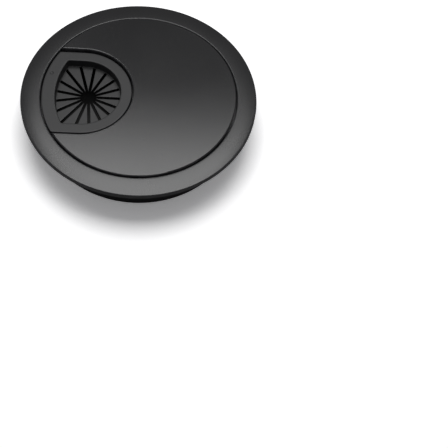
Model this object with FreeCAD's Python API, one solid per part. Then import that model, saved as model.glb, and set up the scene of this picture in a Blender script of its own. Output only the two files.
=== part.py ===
"""Round desk grommet for an 80 mm cable hole: a flanged sleeve, a turning lid with a U-shaped notch, and a
lift-out insert in the notch whose floor is a star of flexible fingers.

Millimetres, +Z up. The origin is on the sleeve's axis, in the plane of the flange's underside, which is the
desk's surface. The lid's notch opens towards -X.

Sub-parts: base_ring (flange and sleeve, one moulding), lid (plate, rim, hooks and notch wall, one moulding),
insert_frame, and one node for each finger of the star, which bends at its root.
"""
import FreeCAD, Part
import math
import os

# ---- desk hole and base ring ----
DESK_HOLE_D = 80.0        # diameter of the hole that the sleeve drops into
SLEEVE_CLEARANCE = 0.25   # radial, sleeve to desk hole
SLEEVE_WALL = 1.5
SLEEVE_DEPTH = 14.5       # below the desk's surface
SLEEVE_LEAD_IN = 0.6      # chamfer at the sleeve's lower edge
FLANGE_OVERHANG = 6.0     # flange beyond the desk hole, radial
FLANGE_T = 2.5            # flange at its inner edge
FLANGE_DROP = 0.4         # how far the crowned top falls towards the outer edge
FLANGE_EDGE_R = 0.5       # round at the flange's outer top edge
FLANGE_LIP_R = 0.4        # round at the flange's inner top edge
FLANGE_FOOT = 0.3         # chamfer at the flange's outer lower edge

# ---- seat for the lid, inside the base ring ----
RECESS_WALL = 1.35        # between the lid's recess and the sleeve's outside
RECESS_DEPTH = 2.5        # flange's inner edge to ledge
LEDGE_IN = 2.0            # how far the ledge stands in from the recess wall
LEDGE_T = 1.5

# ---- lid ----
LID_PROUD = 0.5           # lid's top above the flange's inner edge
LID_GAP = 0.4             # radial, lid to recess wall
LID_PLATE_T = 2.0
LID_RIM_W = 1.2           # downward rim that rides on the ledge
LID_EDGE_R = 0.5          # round along the lid's top edges
SEAT_GAP = 0.1            # lid and insert above the ledge
NOTCH_HALF = 20.4         # half of the notch's width, and the radius of its end
NOTCH_REACH = 2.4         # lid's centre to the notch's end
NOTCH_WALL_T = 1.2        # wall that hangs below the plate round the notch
NOTCH_WALL_DEPTH = 7.4    # lid top to the wall's foot
SHELF_W = 1.9             # shelf at the wall's foot, under the insert
SHELF_T = 0.9
HOOK_ANGLES = (0, 45, 90, 130, -45, -90, -130)   # snap hooks, degrees from +X
HOOK_SPAN = 12.0          # degrees
HOOK_T = 1.1
HOOK_GAP = 0.3            # radial, hooks to the ledge's inner edge
BARB_REACH = 0.5          # barb out past the ledge's inner edge
BARB_GAP = 0.2            # barb below the ledge
BARB_T = 1.2
RIB_ANGLES = (0, 45, 90, -45, -90)               # stiffening ribs under the plate, degrees from +X
RIB_T = 1.0
RIB_H = 1.4
RIB_START = 6.0           # from the lid's centre

# ---- insert ----
INSERT_GAP = 0.9          # insert to notch, at the straight sides
INSERT_END_GAP = 0.5      # insert to notch, at the half-round end
INSERT_SINK = 1.0         # insert's top below the lid's top
INSERT_BORDER = 4.3       # flat border beside and in front of the well
INSERT_BORDER_ARC = 5.3   # flat border along the outer arc
INSERT_WALL = 1.2         # outer skirt and well wall
INSERT_CORNER_R = 1.4     # outer corners in plan
INSERT_EDGE_R = 0.3       # round along the top edges
WELL_CORNER_R = 1.0
WELL_DEPTH = 3.5          # insert's top to the fingers' top
SHELF_GAP = 0.1           # insert's skirt above the shelf
NUB_RISE = 0.8            # friction nubs on the skirt's straight sides
NUB_W = 2.0
NUB_H = 1.6
NUB_FROM_END = 6.0        # nub's middle from the lid's rim, along the straight side
DIMPLE_R = 0.7            # ejector mark on the border
DIMPLE_DEPTH = 0.12
DIMPLE_SIDE = 8.5         # from the notch's axis, along +Y
DIMPLE_FROM_WELL = 2.4    # outward from the well's arc

# ---- star of fingers ----
FINGER_COUNT = 17
FINGER_T = 1.0
SLIT_W = 1.05
STAR_HOLE_R = 3.3         # free hole where the finger tips end
ROOT_GAP = 0.3            # finger's rounded root to the well wall

# ---- derived levels ----
LEDGE_Z = FLANGE_T - RECESS_DEPTH
TOP = FLANGE_T + LID_PROUD    # lid's top
SEAT_Z = LEDGE_Z + SEAT_GAP
LEDGE_FOOT_Z = LEDGE_Z - LEDGE_T
PLATE_Z = TOP - LID_PLATE_T
NOTCH_FOOT_Z = TOP - NOTCH_WALL_DEPTH
SHELF_Z = NOTCH_FOOT_Z + SHELF_T
BARB_TOP_Z = LEDGE_FOOT_Z - BARB_GAP
INSERT_TOP = TOP - INSERT_SINK
SKIRT_FOOT_Z = SHELF_Z + SHELF_GAP
FINGER_TOP = INSERT_TOP - WELL_DEPTH
FINGER_FOOT = FINGER_TOP - FINGER_T

# ---- derived radii and places in plan ----
SLEEVE_R = DESK_HOLE_D / 2 - SLEEVE_CLEARANCE
FLANGE_R = DESK_HOLE_D / 2 + FLANGE_OVERHANG
SLEEVE_IN_R = SLEEVE_R - SLEEVE_WALL
RECESS_R = SLEEVE_R - RECESS_WALL
LEDGE_R = RECESS_R - LEDGE_IN
LID_R = RECESS_R - LID_GAP
HOOK_R = LEDGE_R - HOOK_GAP
NOTCH_X = -(NOTCH_REACH + NOTCH_HALF)
INSERT_HALF = NOTCH_HALF - INSERT_GAP
INSERT_X = -(NOTCH_REACH + INSERT_END_GAP + INSERT_HALF)
WELL_HALF = INSERT_HALF - INSERT_BORDER
WELL_ARC_R = LID_R - INSERT_BORDER_ARC
STAR_X = -(WELL_ARC_R + abs(INSERT_X) - WELL_HALF) / 2
FINGER_STEP = 360.0 / FINGER_COUNT

FAR = 4 * FLANGE_R        # longer than any line that is later trimmed


def vec(x, y, z=0.0):
    return FreeCAD.Vector(x, y, z)


def turned(degrees, length=1.0):
    """A vector of that length in the plan, at that angle from +X."""
    return vec(length * math.cos(math.radians(degrees)), length * math.sin(math.radians(degrees)))


def disc(radius, z_low, z_high):
    return Part.makeCylinder(radius, z_high - z_low, vec(0, 0, z_low))


def ring(r_out, r_in, z_low, z_high):
    return disc(r_out, z_low, z_high).cut(disc(r_in, z_low, z_high))


def u_prism(half, z_low, z_high, round_x=NOTCH_X):
    """The notch's U in plan: a half-round end about round_x and straight sides that run out past the flange."""
    side, end = half, -FAR
    edges = [
        Part.makeLine(vec(end, side), vec(round_x, side)),
        Part.Arc(vec(round_x, side), vec(round_x + half, 0), vec(round_x, -side)).toShape(),
        Part.makeLine(vec(round_x, -side), vec(end, -side)),
        Part.makeLine(vec(end, -side), vec(end, side)),
    ]
    face = Part.Face(Part.Wire(edges))
    face.translate(vec(0, 0, z_low))
    return face.extrude(vec(0, 0, z_high - z_low))


def d_prism(half, arc_r, z_low, z_high, corner_r=0.0):
    """A U about the insert's round end, cut off by a circle about the axis: the insert's and the well's outline."""
    solid = u_prism(half, z_low, z_high, INSERT_X).common(disc(arc_r, z_low, z_high))
    if corner_r <= 0:
        return solid.Solids[0]
    corners = [e for e in solid.Edges if is_upright(e) and e.Vertexes[0].X < INSERT_X - corner_r]
    return solid.Solids[0].makeFillet(corner_r, corners)


def is_upright(edge):
    ends = edge.Vertexes
    return len(ends) == 2 and math.hypot(ends[0].X - ends[1].X, ends[0].Y - ends[1].Y) < 1e-6


def edges_at(solid, z):
    """Every edge that lies wholly in the plane at that height."""
    return [e for e in solid.Edges if max(abs(e.BoundBox.ZMin - z), abs(e.BoundBox.ZMax - z)) < 1e-6]


def one_solid(shape):
    """The shape as a single clean solid. Fails if it has fallen apart."""
    clean = shape.removeSplitter()
    if len(clean.Solids) != 1:
        raise RuntimeError(f"expected one solid, got {len(clean.Solids)}")
    return clean.Solids[0]


# ---- base ring ----

def base_profile():
    """Half section of the flange, sleeve and ledge, in the XZ plane."""
    crown_in = RECESS_R + FLANGE_LIP_R
    crown_out = FLANGE_R - FLANGE_EDGE_R
    crown_w = crown_out - crown_in
    crown_mid = vec(crown_in + crown_w / 2, 0, FLANGE_T - FLANGE_DROP / 4)
    shoulder = FLANGE_T - FLANGE_DROP
    diagonal = math.sqrt(0.5)
    edge_mid = vec(crown_out + FLANGE_EDGE_R * diagonal, 0, shoulder - FLANGE_EDGE_R * (1 - diagonal))
    lip_mid = vec(crown_in - FLANGE_LIP_R * diagonal, 0, FLANGE_T - FLANGE_LIP_R * (1 - diagonal))
    outer = [
        vec(SLEEVE_IN_R, 0, -SLEEVE_DEPTH),
        vec(SLEEVE_R - SLEEVE_LEAD_IN, 0, -SLEEVE_DEPTH),
        vec(SLEEVE_R, 0, SLEEVE_LEAD_IN - SLEEVE_DEPTH),
        vec(SLEEVE_R, 0, 0),
        vec(FLANGE_R - FLANGE_FOOT, 0, 0),
        vec(FLANGE_R, 0, FLANGE_FOOT),
        vec(FLANGE_R, 0, shoulder - FLANGE_EDGE_R),
    ]
    inner = [
        vec(RECESS_R, 0, FLANGE_T - FLANGE_LIP_R),
        vec(RECESS_R, 0, LEDGE_Z),
        vec(LEDGE_R, 0, LEDGE_Z),
        vec(LEDGE_R, 0, LEDGE_FOOT_Z),
        vec(SLEEVE_IN_R, 0, LEDGE_FOOT_Z),
        outer[0],
    ]
    crown_start, crown_end = vec(crown_in, 0, FLANGE_T), vec(crown_out, 0, shoulder)
    edges = [Part.makeLine(a, b) for a, b in zip(outer, outer[1:])]
    edges.append(Part.Arc(outer[-1], edge_mid, crown_end).toShape())
    edges.append(Part.Arc(crown_end, crown_mid, crown_start).toShape())
    edges.append(Part.Arc(crown_start, lip_mid, inner[0]).toShape())
    edges += [Part.makeLine(a, b) for a, b in zip(inner, inner[1:])]
    return Part.Face(Part.Wire(edges))


def make_base_ring():
    return one_solid(base_profile().revolve(vec(0, 0), vec(0, 0, 1), 360))


# ---- lid ----

def make_hook(angle):
    """A tongue that hangs from the plate inside the ledge, with a barb that catches under it."""
    inner = HOOK_R - HOOK_T
    barb_r = LEDGE_R + BARB_REACH
    foot = BARB_TOP_Z - BARB_T
    points = [
        vec(inner, 0, PLATE_Z),
        vec(HOOK_R, 0, PLATE_Z),
        vec(HOOK_R, 0, BARB_TOP_Z),
        vec(barb_r, 0, BARB_TOP_Z),
        vec(barb_r, 0, BARB_TOP_Z - BARB_T / 3),
        vec(HOOK_R, 0, foot),
        vec(inner, 0, foot),
    ]
    section = Part.Face(Part.makePolygon(points + points[:1]))
    hook = section.revolve(vec(0, 0), vec(0, 0, 1), HOOK_SPAN)
    hook.rotate(vec(0, 0), vec(0, 0, 1), angle - HOOK_SPAN / 2)
    return hook


def make_rib(angle):
    """A radial stiffening rib under the plate, from near the centre to the hook at the same angle."""
    rib = Part.makeBox(HOOK_R - HOOK_T / 2 - RIB_START, RIB_T, RIB_H)
    rib.translate(vec(RIB_START, -RIB_T / 2, PLATE_Z - RIB_H))
    rib.rotate(vec(0, 0), vec(0, 0, 1), angle)
    return rib


def make_lid():
    plate = disc(LID_R, PLATE_Z, TOP)
    rim = ring(LID_R, LID_R - LID_RIM_W, SEAT_Z, PLATE_Z)
    wall_out = NOTCH_HALF + NOTCH_WALL_T
    wall = u_prism(wall_out, NOTCH_FOOT_Z, PLATE_Z).common(disc(HOOK_R, NOTCH_FOOT_Z, PLATE_Z))
    bridge = u_prism(wall_out, SEAT_Z, PLATE_Z).common(disc(LID_R, SEAT_Z, PLATE_Z))
    body = plate.fuse([rim, wall, bridge] + [make_hook(a) for a in HOOK_ANGLES] + [make_rib(a) for a in RIB_ANGLES])
    body = body.cut(u_prism(NOTCH_HALF, SHELF_Z, TOP + 1))
    body = body.cut(u_prism(NOTCH_HALF - SHELF_W, NOTCH_FOOT_Z - 1, TOP + 1))
    body = one_solid(body)
    return body.makeFillet(LID_EDGE_R, edges_at(body, TOP))


# ---- insert ----

def well_prism(z_low, z_high, grow=0.0):
    """The well's outline in plan, grown outwards all round by grow."""
    return d_prism(WELL_HALF + grow, WELL_ARC_R + grow, z_low, z_high, WELL_CORNER_R + grow)


def make_insert_frame():
    border = d_prism(INSERT_HALF, LID_R, SEAT_Z, INSERT_TOP, INSERT_CORNER_R)
    skirt = u_prism(INSERT_HALF, SKIRT_FOOT_Z, SEAT_Z, INSERT_X).cut(
        d_prism(INSERT_HALF - INSERT_WALL, HOOK_R - INSERT_WALL, SKIRT_FOOT_Z, SEAT_Z))
    skirt = skirt.common(disc(HOOK_R, SKIRT_FOOT_Z, SEAT_Z))
    tube = well_prism(FINGER_FOOT, SEAT_Z, INSERT_WALL)
    body = border.fuse([skirt, tube]).cut(well_prism(FINGER_FOOT - 1, INSERT_TOP + 1))
    body = one_solid(body.fuse(make_nubs()))
    body = body.makeFillet(INSERT_EDGE_R, edges_at(body, INSERT_TOP))
    mark = Part.makeCylinder(DIMPLE_R, 1, vec(-(WELL_ARC_R + DIMPLE_FROM_WELL), DIMPLE_SIDE,
                                             INSERT_TOP - DIMPLE_DEPTH))
    return one_solid(body.cut(mark))


def make_nubs():
    """Friction nubs on both straight sides of the skirt, low enough to stay inside the notch wall."""
    middle_z = (SKIRT_FOOT_Z + SEAT_Z) / 2
    side_end = -math.sqrt(HOOK_R ** 2 - INSERT_HALF ** 2)
    x = side_end + NUB_FROM_END - NUB_W / 2
    depth = INSERT_WALL / 2 + NUB_RISE
    nubs = []
    for sign in (1, -1):
        low_y = INSERT_HALF - INSERT_WALL / 2 if sign > 0 else -INSERT_HALF - NUB_RISE
        nubs.append(Part.makeBox(NUB_W, depth, NUB_H, vec(x, low_y, middle_z - NUB_H / 2)))
    return nubs


# ---- fingers ----

def slit_angle(n):
    """Slit n's direction from the star's centre. Slit 0 lies on the notch's axis, towards the lid's centre."""
    return n * FINGER_STEP


def slit_side(n, side):
    """A slit's long side as (point, direction). side is +1 for the side at the larger angle."""
    along = turned(slit_angle(n))
    across = turned(slit_angle(n) + 90, side * SLIT_W / 2)
    return vec(STAR_X, 0) + across, along


def meets_wall(point, along):
    """Where a line from the star outwards reaches the well wall, in plan."""
    level = (FINGER_TOP + FINGER_FOOT) / 2
    start = point + vec(0, 0, level)
    inside = Part.makeLine(start, start + along * FAR).common(well_prism(FINGER_FOOT, FINGER_TOP))
    far_end = max(inside.Vertexes, key=lambda v: v.Point.distanceToPoint(start))
    return vec(far_end.X, far_end.Y)


def finger_hinge(n):
    """Finger n's root line as (middle point, direction of the tip, axis). A turn about the axis that is
    positive by the right-hand rule pushes the tip down."""
    ends = [meets_wall(*slit_side(n, 1)), meets_wall(*slit_side(n + 1, -1))]
    chord = (ends[1] - ends[0]).normalize()
    inward = vec(-chord.y, chord.x)
    middle = (ends[0] + ends[1]) * 0.5 + inward * (ROOT_GAP + FINGER_T / 2)
    return middle + vec(0, 0, (FINGER_TOP + FINGER_FOOT) / 2), inward, vec(-inward.y, inward.x)


def make_finger(n):
    """The wedge between two slits, cut off at the star's hole and rounded about its root line."""
    middle, inward, axis = finger_hinge(n)
    low, half_t = FINGER_FOOT - 1, FINGER_T / 2
    bisector = turned(slit_angle(n) + FINGER_STEP / 2)
    apex = vec(STAR_X, 0, low) + bisector * (SLIT_W / 2 / math.sin(math.radians(FINGER_STEP / 2)))
    corners = [apex, apex + turned(slit_angle(n), FAR), apex + turned(slit_angle(n + 1), FAR), apex]
    wedge = Part.Face(Part.makePolygon(corners)).extrude(vec(0, 0, FINGER_T + 2))
    hole = Part.makeBox(2 * FAR, FAR, FINGER_T + 2, vec(-FAR, -FAR, low))
    hole.rotate(vec(0, 0), vec(0, 0, 1), slit_angle(n) + FINGER_STEP / 2 - 90)
    hole.translate(vec(STAR_X, 0) + bisector * STAR_HOLE_R)
    start = middle - axis * FAR
    up, tip = vec(0, 0, half_t), inward * FAR
    outline = [
        Part.makeLine(start + up, start + tip + up),
        Part.makeLine(start + tip + up, start + tip - up),
        Part.makeLine(start + tip - up, start - up),
        Part.Arc(start - up, start - inward * half_t, start + up).toShape(),
    ]
    slab = Part.Face(Part.Wire(outline)).extrude(axis * (2 * FAR))
    return one_solid(slab.common(wedge).cut(hole))


def finger_name(n):
    return f"finger_{n + 1:02d}"


def build():
    """Every sub-part as {node name: solid}."""
    parts = {"base_ring": make_base_ring(), "lid": make_lid(), "insert_frame": make_insert_frame()}
    parts.update({finger_name(n): make_finger(n) for n in range(FINGER_COUNT)})
    return parts


def main():
    os.makedirs("parts", exist_ok=True)
    for name, solid in build().items():
        if not solid.isValid() or solid.Volume <= 0:
            raise RuntimeError(f"{name} isn't a valid solid")
        solid.exportStep(f"parts/{name}.step")
        print(f"{name:14s} {solid.Volume:9.1f} mm3")


main()
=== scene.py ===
# %% [markdown]
# # A round desk grommet in black plastic
# A desk grommet lines the cable hole in a desk. This one is three mouldings: a flanged sleeve that drops
# into the hole, a lid that turns inside the flange, and an insert in the lid's notch whose floor is a star
# of soft fingers that close round the cables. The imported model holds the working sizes, the joints and the
# places of everything. This lesson gives each moulding its finished surface and its plastic, then lights it
# and sets up a camera.
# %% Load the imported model
import math

import bpy
import numpy as np
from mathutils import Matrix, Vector


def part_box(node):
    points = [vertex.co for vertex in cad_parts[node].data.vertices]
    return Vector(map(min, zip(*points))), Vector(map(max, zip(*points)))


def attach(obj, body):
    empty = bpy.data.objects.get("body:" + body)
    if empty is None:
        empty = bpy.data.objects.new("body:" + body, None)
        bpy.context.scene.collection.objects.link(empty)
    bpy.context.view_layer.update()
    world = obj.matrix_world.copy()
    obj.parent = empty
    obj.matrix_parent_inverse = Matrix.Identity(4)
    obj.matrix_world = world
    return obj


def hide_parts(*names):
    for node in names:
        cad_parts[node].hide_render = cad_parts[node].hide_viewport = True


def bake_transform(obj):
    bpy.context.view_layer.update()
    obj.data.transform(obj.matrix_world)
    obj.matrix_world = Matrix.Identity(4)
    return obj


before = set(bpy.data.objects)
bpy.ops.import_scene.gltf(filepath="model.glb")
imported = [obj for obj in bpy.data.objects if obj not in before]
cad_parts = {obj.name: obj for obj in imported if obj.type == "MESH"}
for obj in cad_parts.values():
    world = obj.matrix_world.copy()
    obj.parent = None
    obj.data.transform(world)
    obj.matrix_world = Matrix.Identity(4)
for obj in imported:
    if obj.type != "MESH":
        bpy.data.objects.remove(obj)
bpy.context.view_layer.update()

# %% [markdown]
# ## Sizes
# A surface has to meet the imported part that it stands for, so the outer sizes are read from the frame. The
# few wall thicknesses and gaps that a box can't tell are written once, in the cell that needs them first.
# Everything is in millimetres until a mesh is made, because small plastic parts are easier to think about
# that way.
# %% Sizes from the frame, and the walls between them
MM = 0.001


def corners(node):
    """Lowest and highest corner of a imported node, in millimetres."""
    low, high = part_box(node)
    return np.array(low) / MM, np.array(high) / MM


ring_low, ring_high = corners("base_ring")
lid_high = corners("lid")[1]
insert_low, insert_high = corners("insert_frame")
finger_low, finger_high = corners("finger_01")

flange_r = ring_high[0]
flange_top = ring_high[2]
sleeve_foot = ring_low[2]
lid_r = lid_high[0]
lid_top = lid_high[2]

NUB_RISE = 0.8          # friction nubs on the insert's straight sides, which are its widest points
insert_half = insert_high[1] - NUB_RISE
insert_arc_r = -insert_low[0]
insert_top, insert_foot = insert_high[2], insert_low[2]
insert_x = insert_high[0] - insert_half     # middle of the insert's half-round end

finger_names = sorted(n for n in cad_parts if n.startswith("finger_"))
print(f"flange {2 * flange_r:.1f} across, {lid_top - sleeve_foot:.1f} high, {len(finger_names)} fingers")

# %% [markdown]
# ## From a grid of numbers to a mesh
# Every new surface here is a grid of points: one direction runs round a profile and the other runs along
# the part. Blender could spin or extrude a drawn curve instead, but with a grid the shape is one formula,
# it is worked out for all points at once, and a size can be changed without redrawing. Where the grid's
# lines run together, as at a pole, the points are welded, so the mesh is closed. A closed mesh has a
# volume, and if that volume comes out negative the faces look inwards, so they are turned round.
# %% The mesh helper
SMOOTH_BELOW = math.radians(38)      # edges that fold more than this stay crisp
WELD = 1e-4                          # millimetres


def surface(name, points, body, replaced=()):
    """A closed mesh from points[row, column] in millimetres, where both directions join up with their
    start. Face (i, j) has the corners (i, j), (i + 1, j), (i + 1, j + 1) and (i, j + 1). Points on one spot
    become one point, and a face that loses a corner to that becomes a triangle. The volume is the sum, over
    all triangles, of a dot (b cross c), over 6."""
    rows, columns = points.shape[:2]
    index = np.arange(rows * columns).reshape(rows, columns)
    beside = np.roll(index, -1, axis=0)
    faces = np.stack([index, beside, np.roll(beside, -1, axis=1), np.roll(index, -1, axis=1)], axis=-1)
    keys = np.round(points.reshape(-1, 3) / WELD).astype(np.int64)
    _, first, spot = np.unique(keys, axis=0, return_index=True, return_inverse=True)
    spots = points.reshape(-1, 3)[first] * MM
    faces = spot.reshape(-1)[faces.reshape(-1, 4)]
    lost = faces == np.roll(faces, -1, axis=1)
    quads = faces[lost.sum(axis=1) == 0]
    one_lost = lost.sum(axis=1) == 1
    triangles = faces[one_lost][~lost[one_lost]].reshape(-1, 3)
    halves = np.concatenate([quads[:, [0, 1, 2]], quads[:, [0, 2, 3]], triangles])
    a, b, c = spots[halves[:, 0]], spots[halves[:, 1]], spots[halves[:, 2]]
    volume = np.einsum("ij,ij->", a, np.cross(b, c)) / 6
    if volume < 0:
        quads, triangles = quads[:, ::-1], triangles[:, ::-1]
    mesh = bpy.data.meshes.new(name)
    mesh.from_pydata(spots, [], quads.tolist() + triangles.tolist())
    mesh.shade_smooth()
    mesh.set_sharp_from_angle(angle=SMOOTH_BELOW)
    piece = bpy.data.objects.new(name, mesh)
    bpy.context.scene.collection.objects.link(piece)
    if body:
        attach(piece, body)
    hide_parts(*replaced)
    print(f"{name}: {len(spots)} points, {len(halves)} triangles, {abs(volume) / MM ** 3:.1f} mm3")
    return piece


# %% [markdown]
# ## Drawing a section
# A moulded edge is never sharp: the tool has a small radius there, and that radius is what catches the
# light. So a section is drawn as straight runs between quarter rounds. Each run keeps a point close to both
# of its ends, which holds the shading of the flat up to the round instead of letting it fade across the
# whole flat.
# %% Rounds and runs
def arc(across, up, radius, start, end, steps=6):
    """Points on a circle about (across, up): across + radius cos a, up + radius sin a, for a between two
    angles in degrees."""
    a = np.radians(np.linspace(start, end, steps + 1))
    return np.stack([across + radius * np.cos(a), up + radius * np.sin(a)], axis=-1)


def run(start, end, hold=0.12):
    """Two points on the straight line between two ends, each a short way in from its end."""
    start, end = np.array(start, float), np.array(end, float)
    step = (end - start) / np.linalg.norm(end - start) * hold
    return np.stack([start + step, end - step])


# %% [markdown]
# ## The base ring
# The ring is one moulding: a crowned flange that lies on the desk, a sleeve that fills the hole, and a
# ledge inside that carries the lid. It is turned on one axis, so its whole surface is one section carried
# round a circle. The crown is a shallow parabola that falls towards the outer edge. It is only 0.4 mm deep,
# but it bends the reflection of the lamp, and that tells the eye that the flange isn't a flat washer.
# %% Section and surface of the base ring
SLEEVE_R = 39.75
SLEEVE_WALL = 1.5
SLEEVE_LEAD_IN = 0.6
FLANGE_DROP = 0.4
FLANGE_EDGE_R = 0.5
FLANGE_LIP_R = 0.4
FLANGE_FOOT = 0.3
LID_GAP = 0.4
LEDGE_IN = 2.0
LEDGE_T = 1.5
INNER_R = 0.2           # rounds inside the ring that no hand touches
AROUND_RING = 288       # steps round the ring

recess_r = lid_r + LID_GAP
ledge_z = 0.0           # the desk's surface, the flange's underside and the ledge are in one plane
ledge_r = recess_r - LEDGE_IN
sleeve_in_r = SLEEVE_R - SLEEVE_WALL


def crown(r):
    """Height of the flange's top at radius r: it falls with the square of the distance from the inner lip."""
    lip, edge = recess_r + FLANGE_LIP_R, flange_r - FLANGE_EDGE_R
    return flange_top - FLANGE_DROP * ((r - lip) / (edge - lip)) ** 2


def ring_section():
    """The ring's closed section as (radius, height): sleeve, flange, crown, lip, recess, ledge and back."""
    lip, edge = recess_r + FLANGE_LIP_R, flange_r - FLANGE_EDGE_R
    slope = math.degrees(math.atan(2 * FLANGE_DROP / (edge - lip)))
    shoulder = flange_top - FLANGE_DROP - FLANGE_EDGE_R
    crown_r = np.linspace(edge, lip, 15)[1:-1]
    under_ledge = ledge_z - LEDGE_T
    return np.concatenate([
        arc(sleeve_in_r + INNER_R, sleeve_foot + INNER_R, INNER_R, 180, 270),
        [[SLEEVE_R - SLEEVE_LEAD_IN, sleeve_foot], [SLEEVE_R, sleeve_foot + SLEEVE_LEAD_IN]],
        run((SLEEVE_R, sleeve_foot + SLEEVE_LEAD_IN), (SLEEVE_R, -INNER_R)),
        arc(SLEEVE_R + INNER_R, -INNER_R, INNER_R, 180, 90),
        run((SLEEVE_R + INNER_R, 0), (flange_r - FLANGE_FOOT, 0)),
        [[flange_r - FLANGE_FOOT, 0], [flange_r, FLANGE_FOOT]],
        run((flange_r, FLANGE_FOOT), (flange_r, shoulder)),
        arc(edge, shoulder, FLANGE_EDGE_R, 0, 90 - slope, 8),
        np.stack([crown_r, crown(crown_r)], axis=-1),
        arc(lip, flange_top - FLANGE_LIP_R, FLANGE_LIP_R, 90, 180, 8),
        run((recess_r, flange_top - FLANGE_LIP_R), (recess_r, ledge_z + INNER_R)),
        arc(recess_r - INNER_R, ledge_z + INNER_R, INNER_R, 0, -90),
        run((recess_r - INNER_R, ledge_z), (ledge_r + INNER_R, ledge_z)),
        arc(ledge_r + INNER_R, ledge_z - INNER_R, INNER_R, 90, 180),
        run((ledge_r, ledge_z - INNER_R), (ledge_r, under_ledge + INNER_R)),
        arc(ledge_r + INNER_R, under_ledge + INNER_R, INNER_R, 180, 270),
        run((ledge_r + INNER_R, under_ledge), (sleeve_in_r - INNER_R, under_ledge)),
        arc(sleeve_in_r - INNER_R, under_ledge - INNER_R, INNER_R, 90, 0),
        run((sleeve_in_r, under_ledge - INNER_R), (sleeve_in_r, sleeve_foot + INNER_R)),
    ])


def turn_section(section, steps):
    """Carries a section (radius, height) round the Z axis: x = r cos a, y = r sin a, z = height."""
    a = np.linspace(0, 2 * np.pi, steps, endpoint=False)[:, None]
    r, z = section[:, 0], section[:, 1]
    return np.stack([r * np.cos(a), r * np.sin(a), np.broadcast_to(z, (steps, len(z)))], axis=-1)


ring_grid = turn_section(ring_section(), AROUND_RING)
base_ring = surface("flange_and_sleeve", ring_grid, "base", ["base_ring"])

# %% [markdown]
# ## The insert's outline
# Seen from above, the insert and the well in it are the same kind of shape: a half-round end that points to
# the lid's centre, two straight sides, two rounded corners, and an arc about the lid's centre. Four numbers
# draw it, so the whole insert can be built as a stack of such outlines, each a little larger, smaller,
# higher or lower than the one before. One hand-drawn outline scaled up and down wouldn't do, because a
# scaled border isn't equally wide.
# %% The D outline
OUTER_CORNER_R, WELL_CORNER_R = 1.4, 1.0
MARK_ANGLE = 166.3      # degrees round the lid's centre to the ejector mark on the border
MARK_R = 0.75
MARK_DEPTH = 0.2
MARK_FROM_AXIS = 35.9   # lid's centre to the mark's middle
FINE = 0.1              # grid spacing across the mark
FINE_STEPS = 12         # such steps on either side of the mark's middle
END_STEPS, SIDE_STEPS, CORNER_STEPS, ARC_STEPS = 28, 18, 7, 22


def fractions(steps, fine_middle=None, fine_half=0.0, fine_step=1.0):
    """Fractions from 0 up to 1, without the 1, in even steps, with finer steps round one place if asked."""
    even = np.linspace(0, 1, steps + 1)[:-1]
    if fine_middle is None:
        return even
    fine = np.arange(fine_middle - fine_half, fine_middle + fine_half, fine_step)
    kept = even[np.abs(even - fine_middle) > fine_half + fine_step / 2]
    return np.sort(np.concatenate([kept, fine]))


def d_outline(half, arc_r, corner_r):
    """Points round the D, anticlockwise from its tip, for arrays of levels. The half-round end is about
    insert_x with radius half. The corner's middle lies corner_r inside both the straight side and the outer
    arc, which gives its x by Pythagoras. The lower half mirrors the upper half."""
    half, arc_r, corner_r = (np.asarray(v, float)[:, None] for v in (half, arc_r, corner_r))
    corner_y = half - corner_r
    corner_x = -np.sqrt((arc_r - corner_r) ** 2 - corner_y ** 2)
    corner_turn = np.arctan2(corner_y, corner_x)
    on_end = fractions(END_STEPS) * np.pi / 2
    on_side, on_corner = fractions(SIDE_STEPS), fractions(CORNER_STEPS)
    arc_span = np.pi - corner_turn
    mark_at = (math.radians(MARK_ANGLE) - float(corner_turn.mean())) / float(arc_span.mean())
    fine_share = FINE / MARK_FROM_AXIS / float(arc_span.mean())
    on_arc = fractions(ARC_STEPS, mark_at, FINE_STEPS * fine_share, fine_share)
    corner_a = np.pi / 2 + (corner_turn - np.pi / 2) * on_corner
    arc_a = corner_turn + arc_span * np.append(on_arc, 1.0)
    x = np.concatenate([
        insert_x + half * np.cos(on_end),
        insert_x + (corner_x - insert_x) * on_side,
        corner_x + corner_r * np.cos(corner_a),
        arc_r * np.cos(arc_a),
    ], axis=1)
    y = np.concatenate([
        half * np.sin(on_end),
        half + 0 * on_side,
        corner_y + corner_r * np.sin(corner_a),
        arc_r * np.sin(arc_a),
    ], axis=1)
    upper = np.stack([x, y], axis=-1)
    lower = upper[:, -2:0:-1] * [1, -1]
    return np.concatenate([upper, lower], axis=1)


print("outline points:", d_outline([insert_half], [insert_arc_r], [OUTER_CORNER_R]).shape[1])

# %% [markdown]
# ## The insert's frame
# The frame is a flat border, a skirt round its outside that stands on the lid's shelf, and a well wall
# whose foot carries the fingers. Going round the section gives a list of levels, and each level is one D
# outline. Modelling it from boxes and cutting the well out with a Boolean would leave messy faces at the
# edges, right where the light shows them. Two small things are pushed out of the finished grid: a nub on
# each straight side, which gives the insert its friction fit, and the round mark that an ejector pin left
# on the border.
# %% Levels of the insert
BORDER_SIDE = 4.3       # border beside and in front of the well
BORDER_ARC = 5.3        # border along the outer arc
SKIRT_WALL = 1.2
SKIRT_STEP = 1.9        # the skirt stands in from the border along the outer arc, to clear the ledge
EDGE_R = 0.3
WEB_W = 0.15            # floor left whole at the well wall, where the slits end
WEB_FILLET = 0.15
WEB_HOLD = 0.05         # extra level just under the web's top, which keeps the shading of its edge narrow
WELL_DRAFT = 0.12       # the well narrows towards its floor, so that it leaves the tool
SKIRT_CORNER_R = 1.0    # corner of the skirt's inside
BORDER_STEPS = 8
MARK_ACROSS = 0.63      # the mark's place across the border, from the well at 0 to the outside at 1
MARK_BAND = 0.22        # half of the finer band round it, in the same measure
SKIRT_LEVELS = 14
SEAT_GAP = 0.1
NUB_W, NUB_H = 2.0, 1.6
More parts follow.
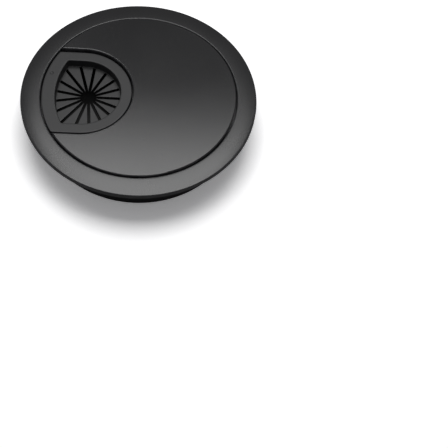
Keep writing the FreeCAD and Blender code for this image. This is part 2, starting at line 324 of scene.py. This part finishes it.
NUB_FROM_END = 6.0      # nub's middle, from where the straight side meets the skirt's arc
NUB_SLOPE, MARK_SLOPE = 0.5, 0.25   # width of the slope round each

finger_foot, finger_top = finger_low[2], finger_high[2]
seat_z = ledge_z + SEAT_GAP
well_half, well_arc_r = insert_half - BORDER_SIDE, insert_arc_r - BORDER_ARC
skirt_arc_r = insert_arc_r - SKIRT_STEP


def level(half, arc_r, corner_r, z):
    """One level or several, as rows of (half, arc radius, corner radius, height)."""
    columns = [np.atleast_1d(v).astype(float) for v in (half, arc_r, corner_r, z)]
    return np.stack(np.broadcast_arrays(*columns), axis=-1)


def grown(out, corner_r, z):
    """Levels that stand the same distance out from the well's outline all round."""
    return level(well_half + out, well_arc_r + out, corner_r, z)


def insert_levels():
    """Border from the well outwards, outer edge, skirt, underside, well wall and floor web, as levels."""
    across = np.append(fractions(BORDER_STEPS, MARK_ACROSS, MARK_BAND, FINE / BORDER_ARC), 1.0)
    border_half = well_half + EDGE_R + (BORDER_SIDE - 2 * EDGE_R) * across
    border_arc = well_arc_r + EDGE_R + (BORDER_ARC - 2 * EDGE_R) * across
    border_corner = WELL_CORNER_R + EDGE_R + (OUTER_CORNER_R - WELL_CORNER_R - 2 * EDGE_R) * across
    top_round = arc(-EDGE_R, insert_top - EDGE_R, EDGE_R, 90, 0, 5)
    well_round = arc(EDGE_R, insert_top - EDGE_R, EDGE_R, 180, 90, 5)[:-1]
    foot_fillet = arc(-WELL_DRAFT - WEB_FILLET, finger_top + WEB_FILLET, WEB_FILLET, 270, 360, 4)
    skirt_z = np.linspace(seat_z, insert_foot, SKIRT_LEVELS)
    return np.concatenate([
        level(border_half, border_arc, border_corner, insert_top),
        level(insert_half + top_round[:, 0], insert_arc_r + top_round[:, 0],
              OUTER_CORNER_R + top_round[:, 0], top_round[:, 1]),
        level(insert_half, insert_arc_r, OUTER_CORNER_R, [insert_top - 2 * EDGE_R, seat_z]),
        level(insert_half, skirt_arc_r, OUTER_CORNER_R, skirt_z),
        level(insert_half - SKIRT_WALL, skirt_arc_r - SKIRT_WALL, SKIRT_CORNER_R, [insert_foot, seat_z]),
        grown(SKIRT_WALL, WELL_CORNER_R + SKIRT_WALL, [seat_z, finger_foot]),
        grown(-WEB_W, WELL_CORNER_R, [finger_foot, finger_top - WEB_HOLD, finger_top]),
        grown(foot_fillet[:, 0], WELL_CORNER_R, foot_fillet[:, 1]),
        grown(0, WELL_CORNER_R, insert_top - 2 * EDGE_R),
        grown(well_round[:, 0], WELL_CORNER_R + well_round[:, 0], well_round[:, 1]),
    ])


print("levels in the insert's section:", len(insert_levels()))

# %% Stack the outlines, then add the nubs and the ejector mark
def ease(t):
    """0 below 0, 1 above 1, and a smooth S in between: 3 t squared minus 2 t cubed."""
    t = np.clip(t, 0, 1)
    return t * t * (3 - 2 * t)


def insert_grid():
    """All the levels' outlines as one grid. A nub adds NUB_RISE to the side's y within its width and height.
    The mark lowers the border's z by MARK_DEPTH within MARK_R of its middle."""
    levels = insert_levels()
    plan = d_outline(levels[:, 0], levels[:, 1], levels[:, 2])
    x, y = plan[..., 0], plan[..., 1]
    z = np.broadcast_to(levels[:, 3:4], x.shape)
    nub_x = NUB_FROM_END - math.sqrt(skirt_arc_r ** 2 - insert_half ** 2)
    nub_z = (seat_z + insert_foot) / 2
    in_width = ease((NUB_W / 2 - np.abs(x - nub_x)) / NUB_SLOPE + 0.5)
    in_height = ease((NUB_H / 2 - np.abs(z - nub_z)) / NUB_SLOPE + 0.5)
    on_side = np.abs(np.abs(y) - insert_half) < WELD
    y = y + np.sign(y) * NUB_RISE * in_width * in_height * on_side
    mark_a = math.radians(MARK_ANGLE)
    mark_x, mark_y = MARK_FROM_AXIS * math.cos(mark_a), MARK_FROM_AXIS * math.sin(mark_a)
    from_mark = np.hypot(x - mark_x, y - mark_y)
    on_top = np.abs(z - insert_top) < WELD
    z = z - MARK_DEPTH * ease((MARK_R - from_mark) / MARK_SLOPE) * on_top
    return np.stack([x, y, z], axis=-1)


insert_frame = surface("insert_moulding", insert_grid(), "insert", ["insert_frame"])

# %% [markdown]
# ## The star of fingers
# The well's floor is cut by slits that run out from the middle like spokes, and what is left between two
# slits is a finger. The slits have parallel sides, so a finger narrows to almost a point. Each finger is
# its own piece, because each one bends by itself round a cable, but it grows out of the frame with no seam.
# That is why its root runs a little way into the frame.
# %% Where the fingers meet the frame
SLIT_W = 1.05
STAR_HOLE_R = 3.0       # star's middle to the finger tips
ROOT_INTO_WEB = 0.12
FINGER_SKIN = 0.02      # fingers lie this much inside the web's faces, so that no two faces share a plane
FINGER_ROUND = 0.16
TIP_FROM = 0.97         # share of a finger's length where its tip starts to round off
TIP_LEFT = 0.25         # share of its thickness that is left at the very tip
ROUND_POINTS, FLAT_POINTS = 5, 7    # points on each rounded edge and on each flat of a finger's section
FLAT_REACH = 0.8        # the flat's outermost points, as a share of its half width

star_x = -(well_arc_r + abs(insert_x) - well_half) / 2
finger_step = 2 * math.pi / len(finger_names)
web_edge = d_outline([well_half - WEB_W], [well_arc_r - WEB_W], [WELL_CORNER_R])[0] - [star_x, 0]
web_angle = np.arctan2(web_edge[:, 1], web_edge[:, 0])
web_reach = np.hypot(web_edge[:, 0], web_edge[:, 1])


def reach(angle):
    """Distance from the star's middle to the web's edge in that direction, read off the web's outline."""
    return np.interp(angle, web_angle, web_reach, period=2 * math.pi)


def side_angle(slit, side):
    """Direction in which a slit's side meets the web. The side runs parallel to the slit, half a slit's
    width off, so the sine of its angle off the slit is that offset over the reach. A few rounds settle it."""
    angle = slit
    for _ in range(5):
        angle = slit + side * np.arcsin(SLIT_W / 2 / reach(angle))
    return angle


print(f"star middle at x = {star_x:.2f}, reach {web_reach.min():.1f} to {web_reach.max():.1f}")

# %% One finger as a grid
def bar_section():
    """A flat bar's section, anticlockwise from its right side: how far across the flat each point sits, from
    -1 to 1, and how far round the bar's edge it is turned."""
    quarter = np.linspace(0, np.pi / 2, ROUND_POINTS)
    flat = np.linspace(FLAT_REACH, -FLAT_REACH, FLAT_POINTS)
    side, square = np.ones(ROUND_POINTS), np.full(FLAT_POINTS, np.pi / 2)
    spread = np.concatenate([side, flat, -side, -side, -flat, side])
    turned = np.concatenate([quarter, square, quarter + np.pi / 2,
                             quarter + np.pi, 3 * square, quarter + 3 * np.pi / 2])
    return spread, turned


def finger_grid(n):
    """Finger n. Across it, u runs from -1 on one slit to 1 on the next, and along it t runs from 0 at the
    root to 1 at the tip. In plan each point is (1 - t) root(u) + t tip(u). The section is a flat bar with
    rounded edges whose rounds shrink with the finger's width."""
    slit_a, slit_b = n * finger_step, (n + 1) * finger_step
    middle = (slit_a + slit_b) / 2
    root_a, root_b = side_angle(slit_a, 1), side_angle(slit_b, -1)
    half_step = finger_step / 2
    tip_half = STAR_HOLE_R * math.tan(half_step) - SLIT_W / 2 / math.cos(half_step)
    root_half = reach(middle) * math.tan(half_step) - SLIT_W / 2 / math.cos(half_step)
    along = np.concatenate([[0], np.linspace(0.02, TIP_FROM, 16), [0.985, 0.995, 1]])[:, None]
    past = ((along - TIP_FROM) / (1 - TIP_FROM)).clip(0, 1)
    end_round = np.sqrt(np.clip(1 - past ** 2, 0, 1))
    half_w = root_half + (tip_half - root_half) * along
    half_t = ((finger_top - finger_foot) / 2 - FINGER_SKIN) * (TIP_LEFT + (1 - TIP_LEFT) * end_round)
    edge = np.minimum(FINGER_ROUND, FLAT_REACH * half_w)
    spread, turned = bar_section()
    on_corner = np.abs(spread) == 1
    across = spread * (half_w - edge) + np.where(on_corner, edge * np.cos(turned), 0)
    up = np.sign(np.sin(turned - 1e-9)) * (half_t - edge) + edge * np.sin(turned)
    u = across / half_w
    root_angle = (root_a + root_b) / 2 + u * (root_b - root_a) / 2
    root_r = reach(root_angle) + ROOT_INTO_WEB
    tip_out, tip_aside = STAR_HOLE_R, u * tip_half
    tip_x = tip_out * math.cos(middle) - tip_aside * math.sin(middle)
    tip_y = tip_out * math.sin(middle) + tip_aside * math.cos(middle)
    x = (1 - along) * root_r * np.cos(root_angle) + along * tip_x
    y = (1 - along) * root_r * np.sin(root_angle) + along * tip_y
    return np.stack([star_x + x, y, (finger_top + finger_foot) / 2 + up + 0 * x], axis=-1)


print("rows and points round one finger:", finger_grid(0).shape[:2])


# %% Cap the ends and make all the fingers
def capped(grid):
    """Adds a first and a last row that are each one point, the middle of the row beside them, which closes
    both ends of a tube of rows."""
    first, last = (np.broadcast_to(row.mean(axis=1, keepdims=True), row.shape)
                   for row in (grid[:1], grid[-1:]))
    return np.concatenate([first, grid, last])


fingers = [surface("star_" + name, capped(finger_grid(n)), None, [name])
           for n, name in enumerate(finger_names)]

for name, finger in zip(finger_names, fingers):
    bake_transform(finger)
print("bending fingers:", len(fingers))

# %% [markdown]
# ## Shader groups for moulded plastic
# Three plastics in this model share the same small effects: the grain that the steel tool leaves on the
# part, a band along each edge that is smoother, as polish from hands, and lighter, which is a painted edge
# highlight, and a little dust. Painting them would need an image and a map for every part. As node groups
# they are made once and take their own sizes in each material. They only hand out masks and heights. The
# Principled shader stays in the material, where its own sockets hold everything that is the same all over.
# %% Helpers for building groups
def new_group(name, inputs, outputs):
    """An empty shader group. inputs is {name: (socket type, default)} and outputs is a list of names."""
    group = bpy.data.node_groups.new(name, "ShaderNodeTree")
    for label, (kind, default) in inputs.items():
        socket = group.interface.new_socket(name=label, in_out="INPUT", socket_type=kind)
        if default is not None:
            socket.default_value = default
    for label in outputs:
        group.interface.new_socket(name=label, in_out="OUTPUT", socket_type="NodeSocketFloat")
    return group, group.nodes.new("NodeGroupInput"), group.nodes.new("NodeGroupOutput")


def plug(tree, value, socket):
    """Wires an output into a socket, or sets the socket if value is a plain number."""
    if isinstance(value, bpy.types.NodeSocket):
        tree.links.new(value, socket)
    elif value is not None:
        socket.default_value = value


def sums(tree, operation, *values, clamp=False):
    """A Math node on plain numbers or outputs."""
    node = tree.nodes.new("ShaderNodeMath")
    node.operation, node.use_clamp = operation, clamp
    for socket, value in zip(node.inputs, values):
        plug(tree, value, socket)
    return node.outputs[0]


def noise(tree, where, scale, detail=2.0, roughness=0.5):
    """A Noise texture's value, with as many cells to the metre as scale says."""
    node = tree.nodes.new("ShaderNodeTexNoise")
    for label, value in {"Vector": where, "Scale": scale, "Detail": detail, "Roughness": roughness}.items():
        plug(tree, value, node.inputs[label])
    return node.outputs[0]


def ramp(tree, value, low, high):
    """0 below low, 1 above high, smooth in between."""
    node = tree.nodes.new("ShaderNodeMapRange")
    node.interpolation_type = "SMOOTHSTEP"
    for label, v in {"Value": value, "From Min": low, "From Max": high}.items():
        plug(tree, v, node.inputs[label])
    return node.outputs[0]


print("group helpers:", [f.__name__ for f in (new_group, plug, sums, noise, ramp)])


# %% [markdown]
# ### Tool grain
# The tool's steel is spark-eroded, which covers the part in shallow rounded pits a few tenths of a
# millimetre apart. Smooth Voronoi cells give the pits and a finer noise roughens them. A second, much wider
# noise is the way gloss drifts over a moulding where the plastic cooled faster or slower.
# %% Group: tool grain
FINE_PER_PIT = 2.3      # cells of the fine noise to one pit
PIT_SHARE = 0.65        # the pits' share of the height, and the fine noise has the rest
DRIFT_CELLS = 30.0      # cells of the gloss drift to the metre


def make_grain_group():
    """Height is PIT_SHARE pits + (1 - PIT_SHARE) fine noise, with 1 / grain size cells. Gloss drift is the
    wide noise, stretched to run from 0 to 1."""
    group, inside, out = new_group("Tool grain", {
        "Where": ("NodeSocketVector", None), "Grain mm": ("NodeSocketFloat", 0.4)}, ["Height", "Gloss drift"])
    where = inside.outputs["Where"]
    cells = sums(group, "DIVIDE", 1 / MM, inside.outputs["Grain mm"])
    pits = group.nodes.new("ShaderNodeTexVoronoi")
    pits.feature = "SMOOTH_F1"
    plug(group, where, pits.inputs["Vector"])
    plug(group, cells, pits.inputs["Scale"])
    fine = noise(group, where, sums(group, "MULTIPLY", cells, FINE_PER_PIT), detail=3.0)
    height = sums(group, "ADD", sums(group, "MULTIPLY", pits.outputs["Distance"], PIT_SHARE),
                  sums(group, "MULTIPLY", fine, 1 - PIT_SHARE))
    plug(group, height, out.inputs["Height"])
    drift = ramp(group, noise(group, where, DRIFT_CELLS, detail=1.0), 0.3, 0.7)
    plug(group, drift, out.inputs["Gloss drift"])
    return group


grain_group = make_grain_group()
print("group:", grain_group.name, [i.name for i in grain_group.interface.items_tree])


# %% [markdown]
# ### Edge polish and painted edge highlight
# Fingers, cables and sleeves rub an edge first, and rubbed plastic turns a little shinier. The same band is
# also made a little lighter in colour, which is a painted highlight along the rounded edges. The edges of
# the flange and the lid are circles about one axis, so the distance of a point from that axis says how near
# it is to an edge. The notch's edge is a line that bends round a half circle. Its distance has a formula
# too: push the point into the half circle's frame, drop the part of x that lies along the straight sides,
# and measure what is left.
# sides, and measure what is left.
# %% Groups: polish and painted highlight on round edges and on the notch's edge
WEAR_LEAST = 0.4        # polish and painted highlight that are left where the wear is least
ROUND_WEAR_CELLS, NOTCH_WEAR_CELLS = 260.0, 300.0   # cells of the wear to the metre


def polish_and_highlight_band(group, where, distance, edge, width, wear_cells):
    """The polish and painted highlight on a band along an edge: (1 minus the distance from the edge over the
    width, at least 0) times a wear that runs from WEAR_LEAST to 1."""
    away = sums(group, "ABSOLUTE", sums(group, "SUBTRACT", distance, edge))
    near = sums(group, "SUBTRACT", 1.0, sums(group, "DIVIDE", away, width), clamp=True)
    worn = ramp(group, noise(group, where, wear_cells, detail=4.0), 0.35, 0.65)
    return sums(group, "MULTIPLY", near, sums(group, "MULTIPLY_ADD", worn, 1 - WEAR_LEAST, WEAR_LEAST))


def make_round_edge_group():
    """Polish and painted highlight on a circle about the Z axis: the distance is the root of x squared plus y
    squared.
    """
    group, inside, out = new_group("Round edge polish", {
        "Where": ("NodeSocketVector", None), "Radius mm": ("NodeSocketFloat", 46.0),
        "Width mm": ("NodeSocketFloat", 0.6)}, ["Mask"])
    where, edge, width = (inside.outputs[label] for label in ("Where", "Radius mm", "Width mm"))
    flat = group.nodes.new("ShaderNodeVectorMath")
    flat.operation = "MULTIPLY"
    plug(group, where, flat.inputs[0])
    flat.inputs[1].default_value = (1 / MM, 1 / MM, 0)
    radius = group.nodes.new("ShaderNodeVectorMath")
    radius.operation = "LENGTH"
    plug(group, flat.outputs[0], radius.inputs[0])
    mask = polish_and_highlight_band(group, where, radius.outputs["Value"], edge, width, ROUND_WEAR_CELLS)
    plug(group, mask, out.inputs["Mask"])
    return group


def make_notch_edge_group():
    """Polish and painted highlight on the notch's edge: the distance is the root of (x + end, at least 0)
    squared plus y squared, where -end is the x of the half round's middle."""
    group, inside, out = new_group("Notch edge polish", {
        "Where": ("NodeSocketVector", None), "End mm": ("NodeSocketFloat", 22.8),
        "Edge mm": ("NodeSocketFloat", 20.4), "Width mm": ("NodeSocketFloat", 0.6)}, ["Mask"])
    where, end, edge, width = (inside.outputs[label] for label in ("Where", "End mm", "Edge mm", "Width mm"))
    split = group.nodes.new("ShaderNodeSeparateXYZ")
    plug(group, where, split.inputs[0])
    along = sums(group, "MAXIMUM", sums(group, "MULTIPLY_ADD", split.outputs["X"], 1 / MM, end), 0.0)
    across = sums(group, "MULTIPLY", split.outputs["Y"], 1 / MM)
    distance = sums(group, "SQRT", sums(group, "ADD", sums(group, "MULTIPLY", along, along),
                                        sums(group, "MULTIPLY", across, across)))
    mask = polish_and_highlight_band(group, where, distance, edge, width, NOTCH_WEAR_CELLS)
    plug(group, mask, out.inputs["Mask"])
    return group


round_edge_group, notch_edge_group = make_round_edge_group(), make_notch_edge_group()
print("groups:", round_edge_group.name, "and", notch_edge_group.name)


# %% [markdown]
# ### Dust
# Black plastic shows every speck. Real dust is uneven: most of a surface is clean and a few places hold a
# loose scatter. One wide noise picks the places, and one very fine noise, cut off near its top, leaves only
# its peaks as specks.
# %% Group: dust
SPECK_CELLS, HAZE_CELLS, PLACE_CELLS = 4200.0, 900.0, 90.0      # cells of each noise to the metre
HAZE = 0.18             # the even film between the specks, beside a speck's 1


def make_dust_group():
    """The mask is (specks + HAZE times film) times places times Amount."""
    group, inside, out = new_group("Dust", {
        "Where": ("NodeSocketVector", None), "Amount": ("NodeSocketFloat", 0.5)}, ["Mask"])
    where = inside.outputs["Where"]
    specks = ramp(group, noise(group, where, SPECK_CELLS, detail=1.0), 0.74, 0.82)
    places = ramp(group, noise(group, where, PLACE_CELLS, detail=2.0), 0.42, 0.7)
    film = ramp(group, noise(group, where, HAZE_CELLS, detail=5.0), 0.45, 0.8)
    both = sums(group, "ADD", specks, sums(group, "MULTIPLY", film, HAZE))
    mask = sums(group, "MULTIPLY", both, places)
    plug(group, sums(group, "MULTIPLY", mask, inside.outputs["Amount"]), out.inputs["Mask"])
    return group


dust_group = make_dust_group()
print("group:", dust_group.name)


# %% [markdown]
# ## The plastics
# All three mouldings are the same black, yet they look different because of their surface. The lid comes
# from the smoothest tool and shows a soft gradient of the lamp. The flange is a touch coarser. The insert
# is a softer plastic with a matte finish, so it looks greyer than the lid although its pigment is hardly
# lighter. Roughness carries most of this.
# %% One recipe for a black moulded plastic
DRIFT_LIGHTER, DRIFT_SHARE = 1.25, 0.6      # how much lighter the pigment drifts, and how far it mixes in
# the lighter grey of the edge bands is a painted highlight on the rounded edges
EDGE_HIGHLIGHT_GREY, EDGE_HIGHLIGHT_SHARE = (0.07, 0.07, 0.075, 1.0), 0.5
DUST_GREY, DUST_SHARE = (0.28, 0.27, 0.25, 1.0), 0.5
DRIFT_ROUGH = 0.02      # roughness from the glossiest to the dullest place
RUBBED_ROUGH = -0.08    # rubbed edges are smoother
DUST_ROUGH = 0.3        # dust is rough
PLASTIC_IOR = 1.5


def black_plastic(name, pigment, roughness, grain_mm, relief_mm, dust, edges):
    """A Principled plastic. edges is a list of (edge group, {input: value}). Roughness is the plain one, plus
    DRIFT_ROUGH (gloss drift - 1/2), plus RUBBED_ROUGH polish, plus DUST_ROUGH dust. The edge bands also
    lighten the colour as a painted highlight."""
    material = bpy.data.materials.new(name)
    material.use_nodes = True
    tree = material.node_tree
    shader = tree.nodes["Principled BSDF"]
    where = tree.nodes.new("ShaderNodeTexCoord").outputs["Object"]

    def place(group, **values):
        """Puts a group into the material. An underscore in a value's name stands for a space."""
        node = tree.nodes.new("ShaderNodeGroup")
        node.node_tree = group
        plug(tree, where, node.inputs["Where"])
        for label, value in values.items():
            node.inputs[label.replace("_", " ")].default_value = value
        return node

    def tint(under, over, mask, share):
        """Mixes a colour over another by mask times share."""
        mix = tree.nodes.new("ShaderNodeMix")
        mix.data_type = "RGBA"
        plug(tree, sums(tree, "MULTIPLY", mask, share), mix.inputs["Factor"])
        plug(tree, under, mix.inputs["A"])
        mix.inputs["B"].default_value = over
        return mix.outputs["Result"]

    grain = place(grain_group, Grain_mm=grain_mm)
    drift = grain.outputs["Gloss drift"]
    polish_and_highlight = None
    for group, values in edges:
        mask = place(group, **values).outputs["Mask"]
        polish_and_highlight = mask if polish_and_highlight is None else sums(tree, "MAXIMUM", polish_and_highlight, mask)
    specks = place(dust_group, Amount=dust).outputs["Mask"]

    lighter = tuple(DRIFT_LIGHTER * c for c in pigment[:3]) + (1.0,)
    drifted = tint(pigment, lighter, drift, DRIFT_SHARE)
    # painted highlight: the edge bands turn lighter in colour
    highlighted = tint(drifted, EDGE_HIGHLIGHT_GREY, polish_and_highlight, EDGE_HIGHLIGHT_SHARE)
    dusty = tint(highlighted, DUST_GREY, specks, DUST_SHARE)
    plug(tree, dusty, shader.inputs["Base Color"])
    plain = sums(tree, "MULTIPLY_ADD", drift, DRIFT_ROUGH, roughness - DRIFT_ROUGH / 2)
    shiny = sums(tree, "MULTIPLY_ADD", polish_and_highlight, RUBBED_ROUGH, plain)
    rough = sums(tree, "MULTIPLY_ADD", specks, DUST_ROUGH, shiny, clamp=True)
    plug(tree, rough, shader.inputs["Roughness"])
    bump = tree.nodes.new("ShaderNodeBump")
    bump.inputs["Distance"].default_value = relief_mm * MM
    plug(tree, grain.outputs["Height"], bump.inputs["Height"])
    plug(tree, bump.outputs["Normal"], shader.inputs["Normal"])
    shader.inputs["IOR"].default_value = PLASTIC_IOR
    return material


# %% The ring's, the lid's and the insert's plastic
NOTCH_HALF = 20.4       # the lid's notch: half its width, which is also the radius of its end
NOTCH_REACH = 2.4       # lid's centre to the notch's end
BLACK, LID_BLACK = (0.0125, 0.0125, 0.013, 1), (0.010, 0.010, 0.0105, 1)
WIDE, NARROW = 0.6, 0.4     # widths of the polished bands, which also carry the painted highlight
EDGE_IN, LIP_OUT = 0.15, 0.12   # middle of a band, in from the flange's edge and out from its lip

ring_plastic = black_plastic(
    "Ring plastic", BLACK, roughness=0.25, grain_mm=0.42, relief_mm=0.008, dust=0.12, edges=[
        (round_edge_group, {"Radius_mm": flange_r - EDGE_IN, "Width_mm": WIDE}),
        (round_edge_group, {"Radius_mm": recess_r + LIP_OUT, "Width_mm": NARROW}),
    ])
lid_plastic = black_plastic(
    "Lid plastic", LID_BLACK, roughness=0.2, grain_mm=0.34, relief_mm=0.006, dust=0.2, edges=[
        (round_edge_group, {"Radius_mm": lid_r, "Width_mm": WIDE}),
        (notch_edge_group, {"End_mm": NOTCH_REACH + NOTCH_HALF, "Edge_mm": NOTCH_HALF, "Width_mm": WIDE}),
    ])
insert_plastic = black_plastic(
    "Insert plastic", BLACK, roughness=0.5, grain_mm=0.5, relief_mm=0.014, dust=0.2, edges=[
        (notch_edge_group, {"End_mm": -insert_x, "Edge_mm": insert_half, "Width_mm": NARROW}),
    ])


def dress(piece, material):
    """Gives a piece this material and no other."""
    piece.data.materials.clear()
    piece.data.materials.append(material)


dress(base_ring, ring_plastic)
dress(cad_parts["lid"], lid_plastic)
for piece in [insert_frame, *fingers]:
    dress(piece, insert_plastic)
print("plastics:", [m.name for m in (ring_plastic, lid_plastic, insert_plastic)])

# %% [markdown]
# ## The floor
# The grommet stands on white paper that runs to the horizon. A camera set for a small black part shows that
# paper as plain white, yet very little light bounces off it on to the part. One colour can't do both. So
# the paper's material asks whether a ray comes from the camera: the camera sees overexposed white, and all
# other rays find a dark grey. For the camera the paper also glows, more so far from the part, and stays
# white where little light reaches it. A black card on the paper inside the sleeve is painted shade: it
# keeps the white paper from shining up between the fingers, so the hole looks as dark as a shaded hollow.
# %% White paper and a black card of painted shade
FLOOR_HALF = 3.0        # metres
CARD_UP = 0.05          # the card's height over the paper, in millimetres
# the card's black is painted shade under the fingers
SHADE_CARD_BLACK = 0.01
PAPER_BOUNCE = 0.2      # the paper's grey for the light that bounces off it
PAPER_SEEN = 1.4        # the paper's brightness for the camera
GLOW_NEAR, GLOW_MORE = 0.13, 0.8        # the paper's glow beside the part, and what is added far off
GLOW_FROM, GLOW_FULL = 0.12, 0.9        # the glow grows between these distances, in metres


def grey(value):
    """A colour with the same share of red, green and blue."""
    return (value, value, value, 1)


def plain_material(name, value, roughness):
    """A grey Principled material that is the same all over."""
    material = bpy.data.materials.new(name)
    material.use_nodes = True
    shader = material.node_tree.nodes["Principled BSDF"]
    shader.inputs["Base Color"].default_value = grey(value)
    shader.inputs["Roughness"].default_value = roughness
    return material


def stage_face(name, rim):
    """One face between the points of rim, in metres, that belongs to the stage and not to the grommet."""
    mesh = bpy.data.meshes.new(name)
    mesh.from_pydata(rim, [], [tuple(range(len(rim)))])
    face = bpy.data.objects.new(name, mesh)
    bpy.context.scene.collection.objects.link(face)
    return face


def make_floor():
    """A square in the plane of the sleeve's foot."""
    square = np.array([[-1, -1, 0], [1, -1, 0], [1, 1, 0], [-1, 1, 0]])
    return stage_face("floor", square * FLOOR_HALF + [0, 0, sleeve_foot * MM])


def make_shade_card():
    """A round black card of painted shade inside the sleeve, out to its wall: its corners lie on a circle."""
    a = np.linspace(0, 2 * np.pi, AROUND_RING, endpoint=False)
    rim = np.stack([np.cos(a), np.sin(a), 0 * a], axis=-1) * (sleeve_in_r + INNER_R / 2) * MM
    return stage_face("shade card", rim + [0, 0, (sleeve_foot + CARD_UP) * MM])


def make_floor_paper():
    """Paper that looks PAPER_SEEN bright to the camera and PAPER_BOUNCE to all other rays. For the camera it
    glows by GLOW_NEAR + GLOW_MORE far, where far runs from 0 to 1 with the distance from the part."""
    material = plain_material("Floor paper", PAPER_BOUNCE, 0.8)
    tree = material.node_tree
    shader = tree.nodes["Principled BSDF"]
    seen = tree.nodes.new("ShaderNodeLightPath").outputs["Is Camera Ray"]
    shade = tree.nodes.new("ShaderNodeMix")
    shade.data_type = "RGBA"
    shade.inputs["A"].default_value = grey(PAPER_BOUNCE)
    shade.inputs["B"].default_value = grey(PAPER_SEEN)
    plug(tree, seen, shade.inputs["Factor"])
    plug(tree, shade.outputs["Result"], shader.inputs["Base Color"])
    shader.inputs["Emission Color"].default_value = grey(1)
    spot = tree.nodes.new("ShaderNodeTexCoord").outputs["Object"]
    distance = tree.nodes.new("ShaderNodeVectorMath")
    distance.operation = "LENGTH"
    plug(tree, spot, distance.inputs[0])
    far = ramp(tree, distance.outputs["Value"], GLOW_FROM, GLOW_FULL)
    glow = sums(tree, "MULTIPLY_ADD", far, GLOW_MORE, GLOW_NEAR)
    plug(tree, sums(tree, "MULTIPLY", seen, glow), shader.inputs["Emission Strength"])
    return material


floor = make_floor()
shade_card = make_shade_card()
# painted shade: a black card inside the sleeve
dress(shade_card, plain_material("Painted shade black", SHADE_CARD_BLACK, 0.9))
dress(floor, make_floor_paper())
print("stage:", [face.name for face in (floor, shade_card)])

# %% [markdown]
# ## The light
# A black glossy part shows its lights more than its colour. The lamp is one soft box overhead, set a little
# behind the part. The near half of the lid mirrors the box and the far half mirrors the dark room past the
# box's back edge, so the flat lid gets its gradient from where that edge is. The box's width sets how far
# the flange's sides fall into the dark. A lamp is easier to reason about by its brightness than by its
# power: power is brightness times pi times the lamp's area.
# %% The soft box and the room
BOX_BRIGHTNESS = 5.0
BOX_WIDTH, BOX_DEPTH = 0.42, 0.4        # metres, as are the next two
BOX_HEIGHT = 0.6
BOX_BACK_EDGE = 0.378
ROOM_LIGHT = (0.22, 0.22, 0.227, 1)     # the room as the part mirrors it
ROOM_SEEN = 0.95        # the room behind the floor's edge, as the camera sees it


def soft_box(name, brightness, size, place, aim):
    """A rectangular lamp, size (x, y) in metres, at place, turned so that it faces aim."""
    light = bpy.data.lights.new(name, "AREA")
    light.shape, light.size, light.size_y = "RECTANGLE", size[0], size[1]
    light.energy = brightness * math.pi * size[0] * size[1]
    lamp = bpy.data.objects.new(name, light)
    bpy.context.scene.collection.objects.link(lamp)
    lamp.location = place
    lamp.rotation_euler = (Vector(aim) - Vector(place)).to_track_quat("-Z", "Y").to_euler()
    lamp.visible_camera = False
    return lamp


def light_room():
    """A world that lights the part as ROOM_LIGHT and shows the camera ROOM_SEEN."""
    world = bpy.data.worlds.new("room")
    bpy.context.scene.world = world
    world.use_nodes = True
    tree = world.node_tree
    room = tree.nodes["Background"]
    paper = tree.nodes.new("ShaderNodeBackground")
    room.inputs["Color"].default_value = ROOM_LIGHT
    paper.inputs["Color"].default_value = grey(ROOM_SEEN)
    seen = tree.nodes.new("ShaderNodeLightPath")
    choose = tree.nodes.new("ShaderNodeMixShader")
    plug(tree, seen.outputs["Is Camera Ray"], choose.inputs["Fac"])
    plug(tree, room.outputs[0], choose.inputs[1])
    plug(tree, paper.outputs[0], choose.inputs[2])
    plug(tree, choose.outputs[0], tree.nodes["World Output"].inputs["Surface"])


box_y = BOX_BACK_EDGE - BOX_DEPTH / 2
soft_box("overhead box", BOX_BRIGHTNESS, (BOX_WIDTH, BOX_DEPTH), (0, box_y, BOX_HEIGHT), (0, box_y, 0))
light_room()
bpy.context.scene.view_settings.view_transform = "Standard"

# %% [markdown]
# ## Camera
# The camera looks down on the lid from in front, about as a person at the desk would. It is placed the way
# one sets up a tripod: aim at a point, step back by a distance along a direction given by two angles, then
# tilt the head by the roll. The object sits up and to the left in the frame, and a lens shift puts it there
# without turning the camera away, so its circles keep their shape.
# %% Place the camera
ELEVATION, AZIMUTH, ROLL = (math.radians(a) for a in (57.87, -2.89, 4.97))
DISTANCE = 0.3167       # metres
AIM = np.array([17.2, -32.1, lid_top]) * MM
LENS_MM = 68.8
SHIFT_X, SHIFT_Y = 0.095, -0.133


def place_camera():
    """A camera at AIM + DISTANCE back, where back is (sin a cos e, -cos a cos e, sin e) for the azimuth a and
    the elevation e. Roll turns its right and its up about back."""
    outward = math.cos(ELEVATION)
    back = np.array([math.sin(AZIMUTH) * outward, -math.cos(AZIMUTH) * outward, math.sin(ELEVATION)])
    level_right = np.array([math.cos(AZIMUTH), math.sin(AZIMUTH), 0])
    level_up = np.cross(back, level_right)
    right = math.cos(ROLL) * level_right + math.sin(ROLL) * level_up
    up = math.cos(ROLL) * level_up - math.sin(ROLL) * level_right
    camera = bpy.data.objects.new("camera", bpy.data.cameras.new("camera"))
    bpy.context.scene.collection.objects.link(camera)
    place = np.eye(4)
    place[:3, :3] = np.stack([right, up, back], axis=1)
    place[:3, 3] = AIM + back * DISTANCE
    camera.matrix_world = place.T
    return camera


camera = place_camera()
camera.data.lens = LENS_MM
camera.data.shift_x, camera.data.shift_y = SHIFT_X, SHIFT_Y
bpy.context.scene.camera = camera
print("camera at", [round(v, 3) for v in camera.location])
